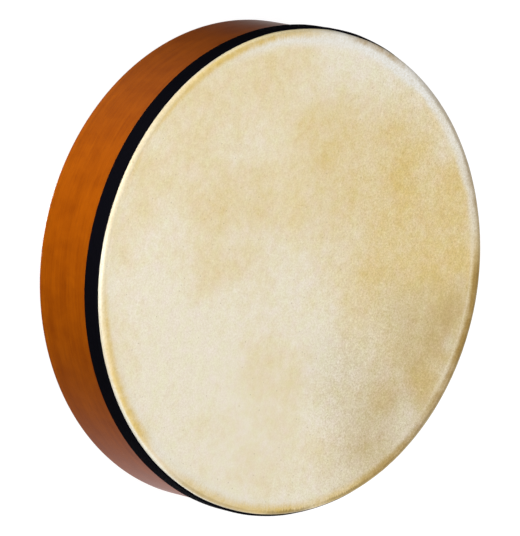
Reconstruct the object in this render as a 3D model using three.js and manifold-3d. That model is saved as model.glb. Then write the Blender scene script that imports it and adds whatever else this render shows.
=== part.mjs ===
// Frame drum: a bent three-ply wooden hoop with a goatskin head stretched over one edge.
// The skin turns down over the outside of the hoop as a collar, wire staples pin the collar to the plies,
// and a black tape band covers the staples and the skin's cut edge.
// Millimetres, +Z up. The drum lies on its open rim: z = 0 is the plane of that rim and Z is its axis.

import * as THREE from "three";
import { mergeVertices } from "three/addons/utils/BufferGeometryUtils.js";
import Module from "manifold-3d";

// Driving dimensions of the wooden hoop
const SHELL_DIAMETER = 304.8; // outside of the hoop, 12 inches
const SHELL_DEPTH = 63.5; // open rim to bearing edge, 2 1/2 inches
const PLY_THICKNESS = 2.1;
const GLUE_LINE = 0.1; // between plies and inside their scarf joints
const SCARF_ANGLE = THREE.MathUtils.degToRad(12); // between a scarf joint and the ply's face
const BEARING_ROUND = 2; // outer round-over that the skin bends across
const BEARING_BEVEL = 2; // inner 45 degree bevel that keeps the wood clear of the ringing skin
const RIM_ROUND = 1; // softened edges of the open rim

// Driving dimensions of the head, band and staples
const SEAT_GAP = 0.15; // between pieces that lie on each other
const SKIN_THICKNESS = 0.8;
const BAND_WIDTH = 12.7; // 1/2 inch tape
const BAND_THICKNESS = 1.1;
const BAND_DROP = 3; // playing face down to the band's upper edge
const BAND_SEAM = 0.4; // between the band's butted ends
const COLLAR_COVER = 1.5; // band below the skin's cut edge
const STAPLE_CROWN = 10;
const STAPLE_LEG = 5;
const STAPLE_WIRE = 0.5; // square wire

// Counts
const PLY_NAMES = ["outer", "core", "inner"];
const STAPLE_COUNT = 24;
const FACETS = 96; // flats round the drum, a multiple of STAPLE_COUNT
const ARC_STEPS = 2; // half the chords in each quarter round
const WELD = 1e-4; // vertices closer than this are one

// The staple gaps that hold the joints: out of step, so that no two joints lie over each other
const PLY_SCARF_GAPS = [5, 13, 21];
const BAND_SEAM_GAP = 7;

// Radii and heights that follow from the driving dimensions
const plyPitch = PLY_THICKNESS + GLUE_LINE;
const wallThickness = PLY_NAMES.length * plyPitch - GLUE_LINE;
const outerRadius = SHELL_DIAMETER / 2;
const innerRadius = outerRadius - wallThickness;
const headUnder = SHELL_DEPTH + SEAT_GAP;
const headTop = headUnder + SKIN_THICKNESS;
const collarInner = outerRadius + SEAT_GAP;
const collarOuter = collarInner + SKIN_THICKNESS;
const bandTop = headTop - BAND_DROP;
const bandBottom = bandTop - BAND_WIDTH;
const collarEnd = bandBottom + COLLAR_COVER;
const bandInner = collarOuter + SEAT_GAP;
const stapleSeat = collarOuter + SEAT_GAP;
const stapleHeight = (bandTop + bandBottom) / 2;

const materials = {
  outer: new THREE.MeshStandardMaterial({ color: 0xb05a0a, roughness: 0.35, metalness: 0 }),
  core: new THREE.MeshStandardMaterial({ color: 0xb98a54, roughness: 0.7, metalness: 0 }),
  inner: new THREE.MeshStandardMaterial({ color: 0xa8642a, roughness: 0.55, metalness: 0 }),
  skin: new THREE.MeshStandardMaterial({ color: 0xe6d9b4, roughness: 0.65, metalness: 0 }),
  tape: new THREE.MeshStandardMaterial({ color: 0x15141b, roughness: 0.8, metalness: 0 }),
  steel: new THREE.MeshStandardMaterial({ color: 0xb4b8bc, roughness: 0.35, metalness: 1 }),
};

const wasm = await Module();
wasm.setup();

// A closed three.js geometry as a solid that can be cut
function solidFrom(geometry) {
  const bare = geometry.clone();
  bare.deleteAttribute("normal");
  bare.deleteAttribute("uv");
  const welded = mergeVertices(bare, WELD);
  const vertProperties = new Float32Array(welded.attributes.position.array);
  const triVerts = new Uint32Array(welded.index.array);
  return new wasm.Manifold(new wasm.Mesh({ numProp: 3, vertProperties, triVerts }));
}

function geometryFrom(solid) {
  const { vertProperties, triVerts } = solid.getMesh();
  const geometry = new THREE.BufferGeometry();
  geometry.setAttribute("position", new THREE.BufferAttribute(vertProperties, 3));
  geometry.setIndex(new THREE.BufferAttribute(triVerts, 1));
  return geometry;
}

// A profile of radius and height, turned round the Z axis
function turned(profile) {
  return new THREE.LatheGeometry(profile, FACETS).rotateX(Math.PI / 2);
}

function tube(inner, outer, bottom, top) {
  const corners = [[inner, bottom], [outer, bottom], [outer, top], [inner, top], [inner, bottom]];
  return turned(corners.map(([radius, height]) => new THREE.Vector2(radius, height)));
}

// Staples lie on the middle of a facet, so that their straight crowns seat flat
function stapleAngle(index) {
  return (2 * Math.PI * index) / STAPLE_COUNT + Math.PI / FACETS;
}

function placeAround(object, angle, radius, height, turn = 0) {
  object.position.set(radius * Math.cos(angle), radius * Math.sin(angle), height);
  object.rotation.z = angle - Math.PI / 2 + turn;
  object.updateMatrix();
  return object;
}

// A thin upright blade midway between two staples, turned from the tangent: it parts a ring there
function jointBlade(gap, radius, size, turn) {
  const blade = new THREE.Mesh(new THREE.BoxGeometry(size.length, size.width, size.height));
  placeAround(blade, stapleAngle(gap + 0.5), radius, headTop / 2, turn);
  return solidFrom(blade.geometry.applyMatrix4(blade.matrix));
}

function wallProfile() {
  const quarter = Math.PI / 2;
  const path = new THREE.Path();
  path.moveTo(innerRadius + RIM_ROUND, 0);
  path.lineTo(outerRadius - RIM_ROUND, 0);
  path.absarc(outerRadius - RIM_ROUND, RIM_ROUND, RIM_ROUND, -quarter, 0, false);
  path.absarc(outerRadius - BEARING_ROUND, SHELL_DEPTH - BEARING_ROUND, BEARING_ROUND, 0, quarter, false);
  path.lineTo(innerRadius + BEARING_BEVEL, SHELL_DEPTH);
  path.lineTo(innerRadius, SHELL_DEPTH - BEARING_BEVEL);
  path.absarc(innerRadius + RIM_ROUND, RIM_ROUND, RIM_ROUND, 2 * quarter, 3 * quarter, false);
  const points = path.getPoints(ARC_STEPS);
  points.at(-1).copy(points[0]);
  return points;
}

function skinProfile() {
  const roundRadius = outerRadius - BEARING_ROUND;
  const roundHeight = SHELL_DEPTH - BEARING_ROUND;
  const innerBend = BEARING_ROUND + SEAT_GAP;
  const outerBend = innerBend + SKIN_THICKNESS;
  const path = new THREE.Path();
  path.moveTo(0, headUnder);
  path.lineTo(roundRadius, headUnder);
  path.absarc(roundRadius, roundHeight, innerBend, Math.PI / 2, 0, true);
  path.lineTo(collarInner, collarEnd);
  path.lineTo(collarOuter, collarEnd);
  path.absarc(roundRadius, roundHeight, outerBend, 0, Math.PI / 2, false);
  path.lineTo(0, headTop);
  return path.getPoints(ARC_STEPS);
}

// A staple in its own frame: X along the crown, Y out of the drum, Z along the drum's axis.
// The crown's inner face is at y = 0, and the legs end in chisel points.
function stapleGeometry(clearance) {
  const halfCrown = STAPLE_CROWN / 2 + clearance;
  const halfThroat = STAPLE_CROWN / 2 - STAPLE_WIRE - clearance;
  const back = STAPLE_WIRE + clearance;
  const tip = -STAPLE_LEG - clearance;
  const shoulder = tip + STAPLE_WIRE;
  const width = STAPLE_WIRE + 2 * clearance;
  const outline = new THREE.Shape();
  outline.moveTo(-halfCrown, tip);
  outline.lineTo(-halfThroat, shoulder);
  outline.lineTo(-halfThroat, -clearance);
  outline.lineTo(halfThroat, -clearance);
  outline.lineTo(halfThroat, shoulder);
  outline.lineTo(halfCrown, tip);
  outline.lineTo(halfCrown, back);
  outline.lineTo(-halfCrown, back);
  return new THREE.ExtrudeGeometry(outline, { depth: width, bevelEnabled: false }).translate(0, 0, -width / 2);
}

function makeStaple(index) {
  const staple = new THREE.Mesh(stapleGeometry(0), materials.steel);
  staple.name = `staple_${String(index + 1).padStart(2, "0")}`;
  return placeAround(staple, stapleAngle(index), stapleSeat, stapleHeight);
}

// The room that every staple takes, with clearance, cut from each piece that it passes through
function stapleRoom(staples) {
  const cutters = staples.map((staple) => solidFrom(stapleGeometry(SEAT_GAP).applyMatrix4(staple.matrix)));
  return cutters.reduce((all, cutter) => all.add(cutter));
}

// One lamination: its share of the hoop's wall, opened by a scarf joint
function makePly(index, wall, room) {
  const plyOuter = outerRadius - index * plyPitch;
  const plyInner = plyOuter - PLY_THICKNESS;
  const share = solidFrom(tube(plyInner, plyOuter, -SEAT_GAP, headTop));
  const scarf = { length: (2 * PLY_THICKNESS) / Math.sin(SCARF_ANGLE), width: GLUE_LINE, height: 2 * headTop };
  const blade = jointBlade(PLY_SCARF_GAPS[index], (plyOuter + plyInner) / 2, scarf, SCARF_ANGLE);
  const solid = wall.intersect(share).subtract(blade).subtract(room);
  const ply = new THREE.Mesh(geometryFrom(solid), materials[PLY_NAMES[index]]);
  ply.name = `shell_${PLY_NAMES[index]}_ply`;
  return ply;
}

function makeSkin(room) {
  const solid = solidFrom(turned(skinProfile())).subtract(room);
  const skin = new THREE.Mesh(geometryFrom(solid), materials.skin);
  skin.name = "goatskin_head";
  return skin;
}

function makeBand(room) {
  const ring = solidFrom(tube(bandInner, bandInner + BAND_THICKNESS, bandBottom, bandTop));
  const seam = { length: 2 * BAND_THICKNESS, width: BAND_SEAM, height: 2 * headTop };
  const blade = jointBlade(BAND_SEAM_GAP, bandInner + BAND_THICKNESS / 2, seam, Math.PI / 2);
  const band = new THREE.Mesh(geometryFrom(ring.subtract(blade).subtract(room)), materials.tape);
  band.name = "trim_band";
  return band;
}

const staples = Array.from({ length: STAPLE_COUNT }, (_, index) => makeStaple(index));
const room = stapleRoom(staples);
const wall = solidFrom(turned(wallProfile()));
const plies = PLY_NAMES.map((_, index) => makePly(index, wall, room));

const drum = new THREE.Group();
drum.name = "frame_drum";
drum.add(...plies, makeSkin(room), makeBand(room), ...staples);

export default drum;
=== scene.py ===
# Looks of a frame drum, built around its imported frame: fine meshes, procedural finishes, light and camera.
# Metres, +Z up. The drum lies on its open rim, its axis is Z and the photographed side faces -Y.
# A way is a direction from the axis, a spread to either side of it and an amount. Directions are counted
# from +X towards +Y, and both angles are in degrees.

import math

import bpy
import numpy as np
from mathutils import Matrix, Vector, noise


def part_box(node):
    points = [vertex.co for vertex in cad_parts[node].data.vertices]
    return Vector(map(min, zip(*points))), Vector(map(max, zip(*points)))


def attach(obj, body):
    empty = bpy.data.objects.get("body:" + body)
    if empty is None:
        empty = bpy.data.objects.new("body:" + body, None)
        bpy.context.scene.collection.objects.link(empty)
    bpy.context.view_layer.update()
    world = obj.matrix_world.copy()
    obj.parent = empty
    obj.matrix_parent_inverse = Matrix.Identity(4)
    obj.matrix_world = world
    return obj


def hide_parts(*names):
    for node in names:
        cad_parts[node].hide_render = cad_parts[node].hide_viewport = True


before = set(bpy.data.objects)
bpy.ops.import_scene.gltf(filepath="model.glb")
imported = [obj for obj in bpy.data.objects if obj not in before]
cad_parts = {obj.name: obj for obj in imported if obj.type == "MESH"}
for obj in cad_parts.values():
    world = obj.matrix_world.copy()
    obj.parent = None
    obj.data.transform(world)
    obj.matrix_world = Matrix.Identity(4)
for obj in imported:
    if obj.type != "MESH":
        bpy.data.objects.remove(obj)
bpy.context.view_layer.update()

MM = 0.001

# Sizes of the construction that the frame's boxes don't give
GLUE_LINE = 0.1 * MM
SCARF_ANGLE = math.radians(12)
BEARING_ROUND = 2 * MM
BEARING_BEVEL = 2 * MM
RIM_ROUND = 1 * MM
SEAT_GAP = 0.15 * MM
SKIN_THICKNESS = 0.8 * MM
BAND_SEAM = 0.4 * MM

# The gaps between staples that hold the joints
PLY_SCARF_GAPS = {"outer": 5, "core": 13, "inner": 21}
BAND_SEAM_GAP = 7

# Radii and heights read from the frame
_, shell_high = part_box("shell_outer_ply")
skin_low, skin_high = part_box("goatskin_head")
band_low, band_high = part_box("trim_band")
SHELL_RADIUS = shell_high.x
SHELL_DEPTH = shell_high.z
PLY_PITCH = SHELL_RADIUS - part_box("shell_core_ply")[1].x
PLY_THICKNESS = PLY_PITCH - GLUE_LINE
INNER_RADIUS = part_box("shell_inner_ply")[1].x - PLY_THICKNESS
COLLAR_RADIUS = skin_high.x
BAND_INNER = COLLAR_RADIUS + SEAT_GAP / 3  # the tape lies closer to the skin than its solid does
BAND_MIDDLE = (band_low.z + band_high.z) / 2
HEAD_TOP = skin_high.z
BEND_RADIUS = SHELL_RADIUS - BEARING_ROUND
BEND_HEIGHT = SHELL_DEPTH - BEARING_ROUND
STAPLES = sorted(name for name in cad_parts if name.startswith("staple_"))

# Fineness of the meshes
SHARP_ANGLE = math.radians(35)
PLY_SECTIONS = 360
PLY_FACE_ROWS = 14
PLY_EDGE_POINTS = 19
BAND_SECTIONS = 576
BAND_FACE_ROWS = 11
BAND_EDGE_STEPS = 7
BAND_BACK_STEPS = 2
SKIN_SECTORS = 320
SKIN_FIELD_RINGS = 72
SKIN_BEND_STEPS = 10
SKIN_COLLAR_RINGS = 12
FACE_MARGIN = 0.3 * MM  # from a flat face's edge to its end row of points, so that it shades flat

# Small forms of the tape: its rounds, its swell over a staple, and the ways in which it is laid and pulled
TAPE_EDGE_ROUND = 0.8 * MM
TAPE_BACK_ROUND = 0.15 * MM
SWELL_HEIGHT = 0.1 * MM
SWELL_ENDS = (4.2 * MM, 6.2 * MM)  # along the crown, from its middle
SWELL_SIDES = (0.2 * MM, 1.4 * MM)  # up and down from the crown
TAPE_LINE = ((226, 50, 0.42 * MM), (342, 12, 0.6 * MM), (304, 44, -0.5 * MM), (150, 20, -0.4 * MM))
TAPE_PULL = ((184, 19, 1.3 * MM), (173, 12, 0.95 * MM), (1.5, 16, 1.6 * MM))
PULL_BELOW = 0.6  # share of the pull that reaches the tape's lower edge
TAPE_THIN = ((151, 27, 0.5 * MM), (16, 16, 0.35 * MM), (177, 13, 0.3 * MM))
TAPE_THIN_EDGE = ((151, 27, 0.4 * MM),)
THIN_EDGE_RISE = (1.4 * MM, 5 * MM)  # up from the crowns

# Small forms of the skin. Each rise runs between two distances outwards from where the bend starts.
FIELD_DROP = 0.3 * MM  # of the playing field below its ridge on the bearing edge
FIELD_RISE = (-6.9 * MM, -2.4 * MM)
WAVE_HEIGHT = 0.05 * MM
WAVES_PER_METRE = 14
SCALLOP_HEIGHT = 0.03 * MM
SCALLOP_RISE = (-16.4 * MM, -0.4 * MM)
PLEAT_DEPTH = 0.07 * MM
PLEATS_PER_METRE = 230
FINE_PLEATS_PER_METRE = 620
PLEAT_RISE = (-2.4 * MM, 1.1 * MM)
PLEATS_ABOVE_BAND = (0.2 * MM, 2 * MM)
FULL_BEND = ((68, 56, 0.8 * MM),)

# Camera, fitted to the outlines of the photograph's 520 by 536 pixels
CAMERA_LENS = 420
CAMERA_SENSOR = 36
CAMERA_ELEVATION = math.radians(49.96)
CAMERA_ROLL = math.radians(101.97)
CAMERA_DISTANCE = 3.9287
CAMERA_AIM = Vector((1.66, -2.50, 32.0)) * MM

# Floor and studio. Heights and directions in the studio are those of unit vectors.
FLOOR_HALF = 6.0
FLOOR_DROP = 0.2 * MM  # below the open rim
HORIZON = 0.15  # the light above passes into the light below within this height
BRIGHTER_ABOVE = (0.9, 0.44, 0)
GLOWS_BELOW = (  # direction, narrowness and strength of each
    ((0.5, 0.87, 0), 2.6, 2),
    ((-0.05, 0.64, -0.77), 60, 1.7),
    ((-0.6, -0.25, -0.76), 16, 0.25),
)
LEAST_BELOW = 0.02
COOL_BELOW = (0.9, 1.0, 1.11, 1)


def staple_angle(index):
    """The direction of a staple's middle from the axis."""
    low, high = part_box(STAPLES[index % len(STAPLES)])
    middle = (low + high) / 2
    return math.atan2(middle.y, middle.x)


def gap_angle(gap):
    """The direction midway between one staple and the next, where the joints lie."""
    return staple_angle(gap) + math.pi / len(STAPLES)


def smoothstep(low, high, value):
    share = np.clip((value - low) / (high - low), 0, 1)
    return share * share * (3 - 2 * share)


def around(angle, ways):
    """The sum of ways: each has its full amount in its direction and fades to 0 at its spread."""
    total = 0
    for middle, spread, amount in ways:
        facing = np.cos(angle - math.radians(middle))
        total = total + amount * smoothstep(math.cos(math.radians(spread)), 1, facing)
    return total


def noise_at(points, scale):
    return np.array([noise.noise(Vector(point) * scale) for point in points])


# Meshes

def finish_piece(name, points, faces, paints, node, strip=None, paint_of_face=None):
    """A piece from its points and faces, smooth over its rounds, in place of one node of the frame."""
    mesh = bpy.data.meshes.new(name)
    mesh.from_pydata([tuple(point) for point in points], [], faces)
    mesh.shade_smooth()
    mesh.set_sharp_from_angle(angle=SHARP_ANGLE)
    if strip is not None:
        along = mesh.attributes.new("strip", "FLOAT_VECTOR", "POINT")
        along.data.foreach_set("vector", np.asarray(strip, np.float32).ravel())
    for paint in paints:
        mesh.materials.append(paint)
    if paint_of_face is not None:
        mesh.polygons.foreach_set("material_index", paint_of_face)
    piece = bpy.data.objects.new(name, mesh)
    bpy.context.scene.collection.objects.link(piece)
    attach(piece, "root")
    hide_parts(node)
    return piece


def arc(centre_radius, centre_height, radius, start, end, steps):
    """Profile points along a round, both ends included. Angles in degrees, from outwards to up."""
    angles = np.radians(np.linspace(start, end, steps + 1))
    return [(centre_radius + radius * math.cos(a), centre_height + radius * math.sin(a)) for a in angles]


def strip_points(profile, start, sweep, sections, lean=None, relief=None):
    """A closed profile carried round the axis: its points, and the arc, height and radius of each."""
    turn = np.linspace(0, sweep, sections + 1)
    radius, height = np.array(profile).T
    turns = np.repeat(turn, len(profile))
    radii = np.tile(radius, len(turn))
    heights = np.tile(height, len(turn))
    angles = start + turns + (lean(radii) if lean else 0)
    shown = radii + (relief(angles, radii, heights) if relief else 0)
    points = np.stack([shown * np.cos(angles), shown * np.sin(angles), heights], 1)
    return points, np.stack([turns * SHELL_RADIUS, heights, radii], 1)


def strip_faces(count, sections):
    """Faces of a strip whose closed profile has count points, anticlockwise, with a cap on each end."""
    faces = []
    for section in range(sections):
        here, there = section * count, (section + 1) * count
        for point in range(count):
            after = (point + 1) % count
            faces.append((here + point, there + point, there + after, here + after))
    faces.append(tuple(range(count)))
    faces.append(tuple(sections * count + point for point in reversed(range(count))))
    return faces


def wall_top(radius):
    """Height of the bearing edge: rounded outside for the skin, bevelled inside."""
    past = np.clip(radius - BEND_RADIUS, 0, BEARING_ROUND)
    rounded = BEARING_ROUND - np.sqrt(BEARING_ROUND ** 2 - past ** 2)
    bevelled = np.maximum(INNER_RADIUS + BEARING_BEVEL - radius, 0)
    return SHELL_DEPTH - np.maximum(rounded, bevelled)


def wall_bottom(radius):
    """Height of the open rim: softened on both edges."""
    outside = radius - (SHELL_RADIUS - RIM_ROUND)
    inside = INNER_RADIUS + RIM_ROUND - radius
    past = np.clip(np.maximum(outside, inside), 0, RIM_ROUND)
    return RIM_ROUND - np.sqrt(RIM_ROUND ** 2 - past ** 2)


def face_rows(low, high):
    """Heights of the points up a flat face."""
    return np.linspace(low + FACE_MARGIN, high - FACE_MARGIN, PLY_FACE_ROWS)


def ply_profile(inner, outer):
    """One lamination's section, anticlockwise: rim, outer face, bearing edge and inner face.

    The points across its edges lie closer together towards both faces.
    """
    swing = np.cos(np.linspace(0, math.pi, PLY_EDGE_POINTS))
    across = (inner + outer) / 2 - swing * (outer - inner) / 2
    low, high = wall_bottom(across), wall_top(across)
    outer_face = face_rows(low[-1], high[-1])
    inner_face = face_rows(low[0], high[0])[::-1]
    return (
        list(zip(across, low))
        + [(outer, height) for height in outer_face]
        + list(zip(across[::-1], high[::-1]))
        + [(inner, height) for height in inner_face]
    )


def make_ply(name, outer, paint):
    """One lamination of the hoop: a strip bent into a ring, its ends bevelled to a scarf joint."""
    inner = outer - PLY_THICKNESS
    middle = (outer + inner) / 2
    profile = ply_profile(inner, outer)
    gap = GLUE_LINE / math.sin(SCARF_ANGLE) / middle
    points, strip = strip_points(
        profile,
        gap_angle(PLY_SCARF_GAPS[name]) + gap / 2,
        2 * math.pi - gap,
        PLY_SECTIONS,
        lean=lambda radius: (middle - radius) / math.tan(SCARF_ANGLE) / middle,
    )
    faces = strip_faces(len(profile), PLY_SECTIONS)
    finish_piece(f"hoop_{name}_ply", points, faces, [paint], f"shell_{name}_ply", strip)


def band_relief(angle, radius, height):
    """The tape swells a little over each staple's crown, and is pulled thinner in three places."""
    step = 2 * math.pi / len(STAPLES)
    off = (angle - staple_angle(0) + step / 2) % step - step / 2
    along = 1 - smoothstep(*SWELL_ENDS, np.abs(off) * radius)
    across = 1 - smoothstep(*SWELL_SIDES, np.abs(height - BAND_MIDDLE))
    near_edge = smoothstep(*THIN_EDGE_RISE, height - BAND_MIDDLE)
    thinner = around(angle, TAPE_THIN) + near_edge * around(angle, TAPE_THIN_EDGE)
    share = np.clip((radius - BAND_INNER) / (band_high.x - BAND_INNER), 0, 1)
    return (SWELL_HEIGHT * along * across - thinner) * share


def laid_by_hand(points):
    """The tape as it is laid: above its true line or below it, and pressed over the skin's bend."""
    x, y, z = points.T
    angle = np.arctan2(y, x)
    share = (z - band_low.z) / (band_high.z - band_low.z)
    pulled = PULL_BELOW + (1 - PULL_BELOW) * share
    laid = z + around(angle, TAPE_LINE) + around(angle, TAPE_PULL) * pulled
    bend = COLLAR_RADIUS - BEND_RADIUS
    above = np.clip(laid - BEND_HEIGHT, 0, bend)
    inwards = bend - np.sqrt(bend ** 2 - above ** 2)
    drawn = 1 - inwards / np.hypot(x, y)
    return np.stack([x * drawn, y * drawn, laid], 1)


def make_band(paint):
    """The tape: its edges pressed round to the skin, and a butt joint between two staples."""
    inner, outer = BAND_INNER, band_high.x
    low, high = band_low.z, band_high.z
    back, edge = TAPE_BACK_ROUND, TAPE_EDGE_ROUND
    rows = np.linspace(low + edge, high - edge, BAND_FACE_ROWS + 2)[1:-1]
    profile = (
        arc(inner + back, low + back, back, 180, 270, BAND_BACK_STEPS)
        + arc(outer - edge, low + edge, edge, 270, 360, BAND_EDGE_STEPS)
        + [(outer, row) for row in rows]
        + arc(outer - edge, high - edge, edge, 0, 90, BAND_EDGE_STEPS)
        + arc(inner + back, high - back, back, 90, 180, BAND_BACK_STEPS)
    )
    seam = BAND_SEAM / outer
    points, strip = strip_points(
        profile,
        gap_angle(BAND_SEAM_GAP) + seam / 2,
        2 * math.pi - seam,
        BAND_SECTIONS,
        relief=band_relief,
    )
    faces = strip_faces(len(profile), BAND_SECTIONS)
    band = finish_piece("tape_band", laid_by_hand(points), faces, [paint], "trim_band", strip)


def skin_sides():
    """The skin's section: its hair side from the axis out and down the collar, and its flesh side back."""
    inner_bend = BEARING_ROUND + SEAT_GAP
    outer_bend = inner_bend + SKIN_THICKNESS
    field = np.linspace(0, BEND_RADIUS, SKIN_FIELD_RINGS)[:-1]
    collar = np.linspace(BEND_HEIGHT, skin_low.z, SKIN_COLLAR_RINGS)[1:]
    hair = (
        [(radius, HEAD_TOP) for radius in field]
        + arc(BEND_RADIUS, BEND_HEIGHT, outer_bend, 90, 0, SKIN_BEND_STEPS)
        + [(COLLAR_RADIUS, height) for height in collar]
    )
    flesh = (
        [(COLLAR_RADIUS - SKIN_THICKNESS, height) for height in collar[::-1]]
        + arc(BEND_RADIUS, BEND_HEIGHT, inner_bend, 0, 90, SKIN_BEND_STEPS)
        + [(radius, HEAD_TOP - SKIN_THICKNESS) for radius in field[::-1]]
    )
    return hair, flesh


def skin_relief(points):
    """Pull in the skin: a field below its ridge on the bearing edge, slow waves, scallops and pleats."""
    x, y, z = points.T
    out = np.hypot(x, y) - BEND_RADIUS
    angle = np.arctan2(y, x)
    drop = FIELD_DROP * (1 - smoothstep(*FIELD_RISE, out))
    near_rim = smoothstep(*SCALLOP_RISE, out)
    waves = noise_at(np.stack([x, y, 0 * x], 1), WAVES_PER_METRE)
    scallops = np.cos(len(STAPLES) * (angle - staple_angle(0)))
    on_top = smoothstep(BEND_HEIGHT, SHELL_DEPTH, z)
    lift = on_top * (WAVE_HEIGHT * waves * (1 - near_rim) + SCALLOP_HEIGHT * scallops * near_rim)
    long_pleats = noise_at(np.stack([x, y, z * 0.4], 1), PLEATS_PER_METRE)
    pleats = long_pleats + 0.5 * noise_at(points, FINE_PLEATS_PER_METRE)
    shows = smoothstep(*PLEATS_ABOVE_BAND, z - band_high.z) * smoothstep(*PLEAT_RISE, out)
    push = (PLEAT_DEPTH * pleats + around(angle, FULL_BEND)) * shows
    return points + np.stack([push * np.cos(angle), push * np.sin(angle), lift - drop], 1)


def turned_points(ring):
    """The points of a profile, turned round the axis one after the other."""
    angles = np.linspace(0, 2 * math.pi, SKIN_SECTORS, endpoint=False)
    radius, height = np.array(ring).T
    return np.stack([
        np.outer(radius, np.cos(angles)).ravel(),
        np.outer(radius, np.sin(angles)).ravel(),
        np.repeat(height, SKIN_SECTORS),
    ], 1)


def turned_faces(rings, hair_rings):
    """Faces of the turned skin, closed at both middles, and the side of each: 0 hair, 1 flesh or cut edge."""
    top, bottom = rings * SKIN_SECTORS, rings * SKIN_SECTORS + 1
    last = (rings - 1) * SKIN_SECTORS
    faces, sides = [], []
    for sector in range(SKIN_SECTORS):
        after = (sector + 1) % SKIN_SECTORS
        faces += [(top, sector, after), (bottom, last + after, last + sector)]
        sides += [0, 1]
        for row in range(rings - 1):
            here, there = row * SKIN_SECTORS, (row + 1) * SKIN_SECTORS
            faces.append((here + sector, there + sector, there + after, here + after))
            sides.append(int(row >= hair_rings - 1))
    return faces, sides


def make_skin(hair_paint, flesh_paint):
    """The head: one closed skin, turned round the axis and then pulled out of true."""
    hair, flesh = skin_sides()
    ring = hair[1:] + flesh[:-1]
    middles = [(0, 0, hair[0][1]), (0, 0, flesh[-1][1])]
    points = skin_relief(np.concatenate([turned_points(ring), middles]))
    faces, sides = turned_faces(len(ring), len(hair) - 1)
    skin = finish_piece("skin_head", points, faces, [hair_paint, flesh_paint], "goatskin_head",
                        paint_of_face=sides)


# Finishes

class Nodes:
    """A node tree, filled by short calls that return output sockets."""

    def __init__(self, tree):
        self.tree = tree

    def feed(self, socket, value):
        """Links an input to another node's output, or sets it to a constant."""
        if isinstance(value, bpy.types.NodeSocket):
            self.tree.links.new(value, socket)
        else:
            socket.default_value = value

    def node(self, kind, inputs, output=0, **settings):
        """One of the outputs of a new node."""
        made = self.tree.nodes.new(kind)
        for name, value in settings.items():
            setattr(made, name, value)
        for key, value in inputs.items():
            self.feed(made.inputs[key], value)
        return made.outputs[output]

    def parts(self, vector):
        """A vector's X, Y and Z."""
        return self.node("ShaderNodeSeparateXYZ", {0: vector}).node.outputs

    def scaled(self, vector, factors):
        return self.node("ShaderNodeVectorMath", {0: vector, 1: factors}, operation="MULTIPLY")

    def dot(self, vector, other):
        return self.node("ShaderNodeVectorMath", {0: vector, 1: other}, "Value", operation="DOT_PRODUCT")

    def length(self, vector):
        return self.node("ShaderNodeVectorMath", {0: vector}, "Value", operation="LENGTH")

    def distance(self, vector, point):
        return self.node("ShaderNodeVectorMath", {0: vector, 1: point}, "Value", operation="DISTANCE")

    def unit(self, vector):
        return self.node("ShaderNodeVectorMath", {0: vector}, operation="NORMALIZE")

    def math(self, operation, first, second=0.0):
        return self.node("ShaderNodeMath", {0: first, 1: second}, operation=operation)

    def add(self, first, *others):
        total = first
        for other in others:
            total = self.math("ADD", total, other)
        return total

    def times(self, first, *others):
        product = first
        for other in others:
            product = self.math("MULTIPLY", product, other)
        return product

    def between(self, value, low, high, start=0.0, end=1.0):
        """A smooth step from start, where value is at low, to end, where it is at high."""
        inputs = {"Value": value, "From Min": low, "From Max": high, "To Min": start, "To Max": end}
        return self.node("ShaderNodeMapRange", inputs, interpolation_type="SMOOTHSTEP")

    def blend(self, factor, first, second):
        """From one number to another."""
        return self.node("ShaderNodeMix", {0: factor, 2: first, 3: second}, data_type="FLOAT")

    def mix(self, factor, first, second, kind="MIX"):
        """From one colour to another. A factor below 0 counts as 0, and one above 1 as 1."""
        inputs = {0: factor, 6: first, 7: second}
        return self.node("ShaderNodeMix", inputs, 2, data_type="RGBA", blend_type=kind)

    def noise(self, vector, scale, detail=2.0, roughness=0.5, distortion=0.0):
        inputs = {"Vector": vector, "Scale": scale, "Detail": detail, "Roughness": roughness,
                  "Distortion": distortion}
        return self.node("ShaderNodeTexNoise", inputs, "Fac")

    def cells(self, vector, scale):
        """Distance to the nearest of many scattered points, as a share of their spacing."""
        return self.node("ShaderNodeTexVoronoi", {"Vector": vector, "Scale": scale}, "Distance")

    def swing(self, vector, scale, detail=2.0, roughness=0.5):
        """Noise about 0."""
        return self.add(self.noise(vector, scale, detail, roughness), -0.5)


class Paint(Nodes):
    """A material, with the sockets of its shader set by name."""

    def __init__(self, name, **sockets):
        self.material = bpy.data.materials.new(name)
        self.material.use_nodes = True
        super().__init__(self.material.node_tree)
        self.shader = self.tree.nodes["Principled BSDF"]
        self.set(**sockets)

    def set(self, **sockets):
        """Sets or links the shader's own sockets, named in lower case with underscores."""
        by_name = {socket.name.lower().replace(" ", "_"): socket for socket in self.shader.inputs}
        for name, value in sockets.items():
            self.feed(by_name[name], value)

    def position(self):
        return self.node("ShaderNodeTexCoord", {}, "Object")

    def strip(self):
        return self.node("ShaderNodeAttribute", {}, "Vector", attribute_name="strip")

    def bump(self, height, distance, strength):
        return self.node("ShaderNodeBump", {"Height": height, "Distance": distance, "Strength": strength})


def colour(red, green, blue):
    """A colour in the picture's 0 to 255 values, as the linear colour that the shader takes."""
    def linear(value):
        share = value / 255
        return share / 12.92 if share <= 0.04045 else ((share + 0.055) / 1.055) ** 2.4
    return (linear(red), linear(green), linear(blue), 1.0)


WHITE = (1, 1, 1, 1)

# Wood grain: repeats per metre along the strip, up it and through it
STREAKS = (10, 260, 260)
FIGURE = (75, 60, 60)
LINES = (38, 1500, 1500)
PORES = (170, 5200, 5200)

# Colours of the skin's playing field
CREAM = colour(234, 225, 202)
GOLD = colour(221, 194, 127)
GREY = colour(213, 203, 176)
BROWN = colour(190, 164, 108)
SCUFFED = colour(222, 211, 186)
MARKED = colour(150, 126, 84)

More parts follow.
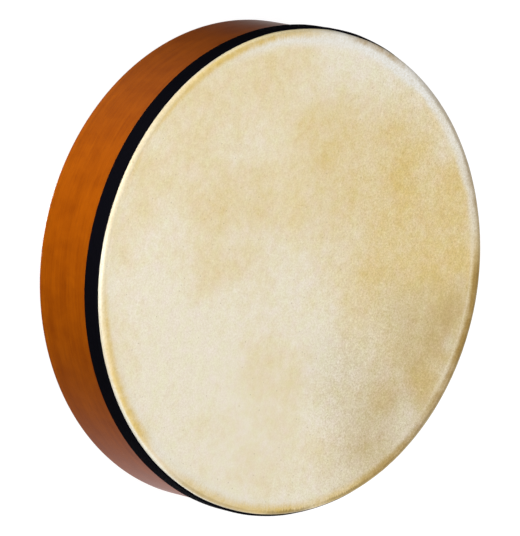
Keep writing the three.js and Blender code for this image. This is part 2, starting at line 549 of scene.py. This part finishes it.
# Colours of the skin's rim, from the stretched ring out to the bend
STRETCHED = colour(231, 228, 220)
CREST = colour(228, 213, 180)
GOLD_STAIN = colour(218, 188, 110)
BROWN_STAIN = colour(166, 134, 70)
SPECK_STAIN = colour(176, 146, 88)
# Dirt on the bend, also painted shade where the bend turns away from the light
SOIL_AND_SHADE = colour(120, 97, 46)
GRIME_AND_SHADE = colour(136, 114, 74)
# Tones of the bend: painted shade, golden and white painted highlights, a gold line of its own and more
# painted shade
SHADED_BEND = colour(196, 184, 155)
GOLDEN_HIGHLIGHT = colour(255, 236, 182)
WHITE_HIGHLIGHT = colour(240, 236, 216)
GOLD_LINE = colour(214, 186, 128)
# Painted shade on the bend towards +X
DIMMED_BEND = colour(160, 138, 92)

# Factors that change a colour of the skin
PINKER = (1.02, 0.988, 1.085, 1)
YELLOWER = (0.98, 1.014, 0.915, 1)
LIGHTER = (1.22, 1.28, 1.42, 1)
DARKER = (0.78, 0.72, 0.58, 1)

# Patches of the playing field: x, y and reach in millimetres, and a share that is below 0 where it takes away
GOLDEN_CLOUDS = (
    (-70, 74, 110, 0.75), (-98, -20, 85, 0.25), (10, 118, 80, 0.6), (-62, -112, 65, 0.3),
    (-10, -58, 55, 0.45), (88, 46, 55, 0.15), (66, -4, 45, 0.3), (10, 62, 45, 0.25),
    (-100, -102, 45, 0.2), (-118, -62, 42, 0.36), (-92, 4, 40, 0.3), (-48, -82, 40, 0.15),
)
GOLDEN_SPOTS = (
    (-50, -30, 35, 0.25), (120, 0, 35, 0.15), (74, -126, 34, 0.25), (-38, -138, 32, 0.25),
    (-4, -136, 30, 0.2), (-40, 0, 30, 0.2), (-70, 122, 28, 0.3), (-29, 136, 24, 0.32),
    (-135, -34, 22, 0.18), (53, 121, 18, 0.5), (64, 92, 16, 0.5),
)
LESS_GOLDEN = (
    (60, -75, 60, -0.15), (-130, 4, 45, -0.25), (-86, 22, 34, -0.2), (-128, 46, 32, -0.3),
    (-98, 99, 15, -0.35),
)
GREY_CLOUDS = ((14, 92, 42, 0.5), (50, 55, 42, 0.35), (84, 100, 36, 0.3))
BROWN_CLOUDS = (
    (24, 128, 55, 0.6), (72, 96, 55, 0.75), (112, 84, 42, 0.45), (0, 138, 22, 0.4),
    (20, 127, 18, 0.35),
)
SCUFFS = (
    (-17, 136, 9, 0.25), (24, 138, 9, 0.5), (42, 141, 9, 0.5), (67, 111, 15, 0.45),
    (82, 116, 18, 0.5), (52, 88, 20, 0.3),
)
ROUGH_PATCHES = ((70, 95, 65, 0.75), (100, 0, 80, -0.32))


def wood_paint(name, light, dark, pore, roughness, tint):
    """Bent veneer: long streaks round the hoop, a soft figure across them, fine lines and short pores."""
    paint = Paint(name, specular_tint=tint, ior=1.46)
    strip = paint.strip()
    streaks = paint.noise(paint.scaled(strip, STREAKS), 1, detail=3, roughness=0.6, distortion=0.6)
    figure = paint.noise(paint.scaled(strip, FIGURE), 1, detail=3, roughness=0.6, distortion=0.4)
    lines = paint.noise(paint.scaled(strip, LINES), 1)
    pores = paint.between(paint.noise(paint.scaled(strip, PORES), 1, detail=0), 0.62, 0.74)
    grain = paint.add(paint.times(streaks, 0.4), paint.times(figure, 0.4), paint.times(lines, 0.2))
    tone = paint.mix(paint.between(grain, 0.25, 0.75), dark, light)
    paint.set(base_color=paint.mix(paint.times(pores, 0.3), tone, pore))
    paint.set(roughness=paint.add(roughness, paint.times(lines, 0.1)))
    relief = paint.add(paint.times(lines, 0.6), paint.times(pores, -0.8))
    paint.set(normal=paint.bump(relief, 0.03 * MM, 0.3))
    return paint.material


def lacquered_paint():
    """Amber brown stain under satin lacquer."""
    return wood_paint("lacquered_wood", light=colour(160, 79, 4), dark=colour(130, 57, 2),
                      pore=colour(88, 36, 6), roughness=0.32, tint=colour(255, 150, 60))


def raw_paint():
    """Bare wood."""
    return wood_paint("raw_wood", light=colour(190, 140, 84), dark=colour(160, 108, 60),
                      pore=colour(104, 66, 34), roughness=0.6, tint=colour(255, 220, 180))


def sealed_paint():
    """Stained wood under a thin matt sealer."""
    return wood_paint("sealed_wood", light=colour(178, 112, 54), dark=colour(146, 82, 36),
                      pore=colour(96, 52, 24), roughness=0.5, tint=colour(255, 190, 120))


class SkinPaint(Paint):
    """A paint for the head, with places on it and the noises that its marks share.

    out is counted outwards from where the bend starts, and down from the playing face. outwards is the
    direction from the axis.
    """

    def __init__(self, name, **sockets):
        super().__init__(name, **sockets)
        self.place = self.position()
        _, self.y, height = self.parts(self.place)
        self.down = self.math("SUBTRACT", HEAD_TOP, height)
        flat = self.scaled(self.place, (1, 1, 0))
        self.outwards = self.unit(flat)
        self.out = self.add(self.length(flat), -BEND_RADIUS)
        self.clouds = self.swing(self.place, 17, detail=3)
        self.blotches = self.swing(self.place, 50, detail=4, roughness=0.6)
        self.mottle = self.swing(self.place, 170, detail=3, roughness=0.6)
        self.grain = self.swing(self.place, 700, roughness=1.0)

    def wandering(self):
        """The distance out, for outlines that wander."""
        return self.add(self.out, self.times(self.blotches, 8 * MM), self.times(self.mottle, 2 * MM))

    def frayed(self):
        """The distance out, for outlines that are frayed into short hairs, mostly in two sectors."""
        hairy = self.add(self.sectors((0, 70, 0.8), (192, 26, 0.8)), 0.2)
        hairs = self.times(self.swing(self.outwards, 220, roughness=0.8), hairy)
        return self.add(self.out, self.times(self.blotches, 3 * MM), self.times(hairs, 6 * MM))

    def patch(self, x, y, reach, share):
        """A soft patch round a point, in millimetres: share in its middle and 0 from about its reach on."""
        away = self.distance(self.place, (x * MM, y * MM, HEAD_TOP))
        clouded = self.add(away, self.times(self.clouds, 0.7 * reach * MM))
        return self.between(clouded, 1.1 * reach * MM, 0.1 * reach * MM, 0.0, share)

    def patches(self, *spots):
        return self.add(*[self.patch(*spot) for spot in spots])

    def sector(self, angle, spread, share):
        """One way: share in its direction, and 0 from its spread on."""
        a = math.radians(angle)
        along = self.dot(self.outwards, (math.cos(a), math.sin(a), 0))
        return self.between(along, math.cos(math.radians(spread)), 1, 0.0, share)

    def sectors(self, *ways):
        return self.add(*[self.sector(*way) for way in ways])

    def rise(self, length, start, full):
        """0 where a length is at start and 1 where it is at full, both in millimetres."""
        return self.between(length, start * MM, full * MM)


def field_tone(skin):
    """The playing field: cream, with golden, grey and brown clouds, pale scuffs and a drifting hue."""
    golden = skin.add(
        skin.patches(*GOLDEN_CLOUDS, *GOLDEN_SPOTS, *LESS_GOLDEN),
        skin.times(skin.clouds, 0.9),
        skin.times(skin.blotches, 0.8),
        skin.times(skin.mottle, 0.4),
    )
    tone = skin.mix(golden, CREAM, GOLD)
    tone = skin.mix(skin.patches(*GREY_CLOUDS), tone, GREY)
    uneven = skin.between(skin.add(skin.clouds, skin.blotches), -0.35, 0.35, start=0.45)
    tone = skin.mix(skin.times(skin.patches(*BROWN_CLOUDS), uneven), tone, BROWN)
    tone = skin.mix(skin.patches(*SCUFFS), tone, SCUFFED)
    drift = skin.add(skin.times(skin.swing(skin.place, 95, detail=4, roughness=0.7), 2), 0.5)
    return skin.mix(1.0, tone, skin.mix(drift, PINKER, YELLOWER), "MULTIPLY")


def stretched_tone(skin, tone):
    """The pale ring where the skin is stretched over the bearing edge, and a warm crest on it."""
    wandering = skin.wandering()
    wide = skin.times(skin.sectors((182, 42, 0.85), (336, 42, 0.3)), skin.rise(wandering, -10.9, -3.4))
    narrow = skin.times(skin.sector(138, 44, 0.75), skin.rise(wandering, -8.4, -3.4))
    tone = skin.mix(skin.add(wide, narrow), tone, STRETCHED)
    crest = skin.times(skin.rise(skin.out, -7, -5.4), skin.rise(skin.out, -3.6, -5.2))
    return skin.mix(skin.times(crest, skin.sector(86, 40, 0.4)), tone, CREST)


def stained_tone(skin, tone, frayed):
    """Golden and brown stains where the skin starts to bend."""
    rubbed = skin.between(skin.add(skin.blotches, skin.mottle), -0.22, 0.18, start=0.75)
    narrow = skin.times(
        skin.sectors((214, 34, 1.0), (252, 22, 0.3), (293, 16, 0.75)),
        skin.rise(frayed, -3.8, 0.2),
    )
    wide = skin.times(
        skin.sectors((314, 14, 1.0), (359, 34, 0.8), (12, 9, 0.3), (38, 19, 0.8), (104, 12, 0.35)),
        skin.rise(frayed, -6.4, 0.4),
    )
    golden = skin.times(skin.add(narrow, wide), skin.rise(skin.down, 2.25, 0.05), rubbed)
    tone = skin.mix(golden, tone, GOLD_STAIN)
    brown = skin.times(
        skin.sectors((48, 16, 0.8), (68, 8, 0.75), (89, 20, 1.15), (118, 14, 0.4)),
        skin.rise(frayed, -5, -1.2),
        rubbed,
    )
    tone = skin.mix(brown, tone, BROWN_STAIN)
    broken = skin.between(skin.mottle, -0.2, 0.2, start=0.5)
    specks = skin.times(skin.sector(169, 12, 0.75), skin.rise(frayed, -2.4, 0), broken)
    return skin.mix(specks, tone, SPECK_STAIN)


def soiled_and_shaded_tone(skin, tone, frayed):
    """Dirt on the outside of the bend, partly painted shade where the bend turns away from the light."""
    # Dark dirt on the bend towards +X and +Y, and painted shade where it faces away from the key light
    soil_and_shade = skin.times(
        skin.sectors((70, 58, 0.55), (13, 10, 0.75), (30, 10, 0.35)),
        skin.rise(frayed, -0.6, 1),
    )
    tone = skin.mix(soil_and_shade, tone, SOIL_AND_SHADE)
    # Grey-brown dirt on the bend towards -X and +Y, and painted shade on that far side
    grime_and_shade = skin.times(
        skin.sector(131, 32, 0.6),
        skin.rise(frayed, -2, 0.4),
        skin.rise(skin.down, 1.85, 0.55),
    )
    return skin.mix(grime_and_shade, tone, GRIME_AND_SHADE)


def bend_tone(skin, tone):
    """The bend by its direction: painted shade, painted golden and white highlights, a gold line and more
    painted shade.
    """
    # Painted shade: a darker, greyer tone where the key light strikes the bend, so that less of its light
    # shows
    shaded = skin.times(skin.sector(262, 42, 0.85), skin.rise(skin.out, -0.6, 1.4))
    tone = skin.mix(shaded, tone, SHADED_BEND)
    # Painted highlight: a light golden tone on the bend where it faces -X
    bright = skin.times(skin.sector(201, 21, 0.85), skin.rise(skin.down, 0.15, 1.25))
    tone = skin.mix(bright, tone, GOLDEN_HIGHLIGHT)
    # Painted highlight: a near-white tone low on the bend, between -Y and +X
    pale = skin.times(skin.sectors((280, 14, 0.6), (322, 18, 0.7)), skin.rise(skin.down, 0.45, 1.55))
    tone = skin.mix(pale, tone, WHITE_HIGHLIGHT)
    lined = skin.times(skin.rise(skin.out, -0.8, 0.4), skin.rise(skin.down, 0.95, 0.25))
    tone = skin.mix(skin.times(lined, skin.sector(328, 9, 0.35)), tone, GOLD_LINE)
    # Painted shade: a darker brown tone on the bend towards +X, which holds back a highlight of the lights
    # there
    dimmed = skin.times(skin.rise(skin.out, -0.2, 1.2), skin.rise(skin.down, 1.85, 0.85))
    return skin.mix(skin.times(dimmed, skin.sector(350, 20, 0.6)), tone, DIMMED_BEND)


def hair_side_paint():
    """Scraped goatskin, hair side: clouded cream with a stained rim, painted shade and highlights on its
    bend, fine specks, pores and flecks.
    """
    skin = SkinPaint("goatskin", specular_tint=colour(255, 244, 220), ior=1.42, specular_ior_level=0.4)
    frayed = skin.frayed()
    tone = stretched_tone(skin, field_tone(skin))
    tone = stained_tone(skin, tone, frayed)
    tone = soiled_and_shaded_tone(skin, tone, frayed)
    tone = bend_tone(skin, tone)
    rougher = skin.between(skin.y, -20 * MM, 90 * MM, start=0.5, end=0.9)
    rough = skin.add(rougher, skin.patches(*ROUGH_PATCHES))
    speck = skin.add(skin.times(skin.grain, 1.85), skin.times(skin.mottle, 0.5), 0.5)
    tone = skin.mix(rough, tone, skin.mix(speck, LIGHTER, DARKER), "MULTIPLY")
    pores = skin.between(skin.cells(skin.place, 850), 0.24, 0.08)
    flecks = skin.between(skin.cells(skin.place, 160), 0.09, 0.04)
    marks = skin.add(skin.times(pores, rough, 0.3), skin.times(flecks, 0.4))
    skin.set(base_color=skin.mix(marks, tone, MARKED))
    polished = skin.times(skin.rise(skin.down, 0.15, 1.25), skin.sector(265, 85, -0.2))
    skin.set(roughness=skin.add(skin.times(skin.blotches, 0.15), polished, 0.55))
    skin.set(normal=skin.bump(skin.add(skin.grain, skin.times(pores, -0.2)), 0.1 * MM, 0.3))
    return skin.material


def flesh_side_paint():
    """Goatskin, flesh side: darker, matt and fibrous, with faint vein marks."""
    paint = Paint("goatskin_flesh", specular_tint=colour(255, 236, 200), ior=1.42, specular_ior_level=0.25)
    place = paint.position()
    clouds = paint.noise(place, 20, detail=3)
    fibres = paint.noise(paint.scaled(place, (1.6, 0.7, 1)), 420, detail=4, roughness=0.65, distortion=0.8)
    veins = paint.between(paint.noise(place, 30, distortion=1.2), 0.485, 0.5)
    tone = paint.mix(clouds, colour(220, 200, 158), colour(198, 168, 116))
    tone = paint.mix(paint.times(fibres, 0.5), tone, colour(176, 146, 98))
    paint.set(base_color=paint.mix(paint.times(veins, 0.1), tone, colour(158, 118, 78)))
    paint.set(roughness=paint.add(0.7, paint.times(fibres, 0.15)))
    paint.set(normal=paint.bump(fibres, 0.15 * MM, 0.5))
    return paint.material


def tape_paint():
    """Matt black woven tape: a plain weave of fine threads."""
    paint = Paint("black_tape", roughness=0.85, ior=1.4, specular_ior_level=0.03)
    strip = paint.strip()
    along, height, _ = paint.parts(strip)
    thread = 0.5 * MM
    weft = paint.math("SINE", paint.times(along, 2 * math.pi / thread))
    warp = paint.math("SINE", paint.times(height, 2 * math.pi / thread))
    weave = paint.times(weft, warp)
    fuzz = paint.noise(strip, 2600)
    tone = paint.mix(paint.between(paint.add(weave, fuzz), -0.2, 1.4), colour(4, 4, 8), colour(11, 10, 16))
    paint.set(base_color=tone)
    paint.set(normal=paint.bump(paint.add(weave, paint.times(fuzz, 0.6)), 0.08 * MM, 0.6))
    return paint.material


def steel_paint():
    """Galvanised staple wire with faint drawing marks."""
    paint = Paint("staple_steel", metallic=1.0)
    marks = paint.noise(paint.scaled(paint.position(), (900, 900, 5200)), 1)
    paint.set(base_color=paint.mix(marks, colour(150, 152, 155), colour(198, 200, 203)))
    paint.set(roughness=paint.add(0.28, paint.times(marks, 0.2)))
    return paint.material


def dress_staples(paint):
    """The frame's own staples, in steel."""
    for name in STAPLES:
        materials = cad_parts[name].data.materials
        materials.clear()
        materials.append(paint)


# Stage

def floor_paint():
    """Pale floor that glows a little, so that only a faint shadow shows. It is clear when seen from below."""
    paint = Paint("pale_floor", roughness=0.9, specular_ior_level=0.0, base_color=(0.2, 0.2, 0.2, 1),
                  emission_color=WHITE, emission_strength=0.9)
    clear = paint.node("ShaderNodeBsdfTransparent", {})
    below = paint.node("ShaderNodeNewGeometry", {}, "Backfacing")
    surface = paint.node("ShaderNodeMixShader", {0: below, 1: paint.shader.outputs[0], 2: clear})
    paint.feed(paint.tree.nodes["Material Output"].inputs["Surface"], surface)
    return paint.material


def make_floor():
    """A wide floor under the open rim. It is only a backdrop: it throws no light or shadow on the drum."""
    half = FLOOR_HALF
    mesh = bpy.data.meshes.new("floor")
    corners = [(-half, -half, 0), (half, -half, 0), (half, half, 0), (-half, half, 0)]
    mesh.from_pydata(corners, [], [(0, 1, 2, 3)])
    mesh.materials.append(floor_paint())
    floor = bpy.data.objects.new("floor", mesh)
    floor.location.z = -FLOOR_DROP
    floor.visible_diffuse = False
    floor.visible_glossy = False
    floor.visible_shadow = False
    bpy.context.scene.collection.objects.link(floor)


def glow(nodes, looking, direction, narrowness, strength):
    """Light out of one direction of the studio, which fades to all sides."""
    facing = nodes.math("MAXIMUM", nodes.dot(looking, direction), 0)
    return nodes.times(nodes.math("POWER", facing, narrowness), strength)


def make_world():
    """A pale studio, brighter towards +X above and towards +X and +Y below. The camera sees white.

    Two narrower glows come up from below, and between +X and +Y the light below is cooler.
    """
    world = bpy.data.worlds.new("studio")
    world.use_nodes = True
    bpy.context.scene.world = world
    nodes = Nodes(world.node_tree)
    looking = nodes.node("ShaderNodeTexCoord", {}, "Generated")
    x, y, z = nodes.parts(looking)
    above = nodes.between(nodes.dot(looking, BRIGHTER_ABOVE), -0.9, 0.9, start=0.12, end=0.7)
    below = nodes.add(*[glow(nodes, looking, *source) for source in GLOWS_BELOW], LEAST_BELOW)
    level = nodes.blend(nodes.between(z, -HORIZON, HORIZON), below, above)
    corner = nodes.times(nodes.between(x, -0.1, 0.3), nodes.between(y, 0.0, 0.4))
    cool = nodes.times(corner, nodes.between(z, HORIZON, -HORIZON))
    tint = nodes.mix(cool, WHITE, COOL_BELOW)
    seen = nodes.node("ShaderNodeLightPath", {}, "Is Camera Ray")
    background = nodes.tree.nodes["Background"]
    nodes.feed(background.inputs["Color"], nodes.mix(seen, tint, WHITE))
    nodes.feed(background.inputs["Strength"], nodes.blend(seen, level, 1.0))


def make_softbox(name, azimuth, elevation, distance, size, power):
    """An area light that looks at the drum. Azimuth is counted from -Y towards +X, both angles in degrees."""
    light = bpy.data.lights.new(name, "AREA")
    light.shape = "RECTANGLE"
    light.size, light.size_y = size
    light.energy = power
    lamp = bpy.data.objects.new(name, light)
    a, e = math.radians(azimuth), math.radians(elevation)
    towards = Vector((math.sin(a) * math.cos(e), -math.cos(a) * math.cos(e), math.sin(e)))
    lamp.location = Vector((0, 0, SHELL_DEPTH / 2)) + towards * distance
    lamp.rotation_euler = towards.to_track_quat("Z", "Y").to_euler()
    lamp.visible_camera = False
    bpy.context.scene.collection.objects.link(lamp)


def make_camera():
    """The photograph's camera: moved back from its aim, rolled and tilted down."""
    data = bpy.data.cameras.new("camera")
    data.lens = CAMERA_LENS
    data.sensor_width = CAMERA_SENSOR
    camera = bpy.data.objects.new("camera", data)
    tilt = Matrix.Rotation(math.pi / 2 - CAMERA_ELEVATION, 4, "X")
    roll = Matrix.Rotation(CAMERA_ROLL, 4, "Z")
    back = Matrix.Translation((0, 0, CAMERA_DISTANCE))
    camera.matrix_world = Matrix.Translation(CAMERA_AIM) @ tilt @ roll @ back
    bpy.context.scene.collection.objects.link(camera)
    bpy.context.scene.camera = camera


make_camera()

make_ply("outer", SHELL_RADIUS, lacquered_paint())
make_ply("core", SHELL_RADIUS - PLY_PITCH, raw_paint())
make_ply("inner", SHELL_RADIUS - 2 * PLY_PITCH, sealed_paint())
make_skin(hair_side_paint(), flesh_side_paint())
make_band(tape_paint())
dress_staples(steel_paint())

make_floor()
make_world()
make_softbox("overhead", azimuth=0, elevation=88, distance=1.6, size=(1.6, 1.6), power=15.1)
make_softbox("key", azimuth=-14, elevation=5, distance=0.48, size=(0.16, 0.16), power=1.75)
make_softbox("side", azimuth=82, elevation=4, distance=1.2, size=(0.8, 0.4), power=5)
make_softbox("back", azimuth=180, elevation=12, distance=1.2, size=(0.8, 0.4), power=2)
make_softbox("inside", azimuth=0, elevation=-90, distance=1.2, size=(0.2, 0.2), power=9)
bpy.context.scene.view_settings.view_transform = "Standard"
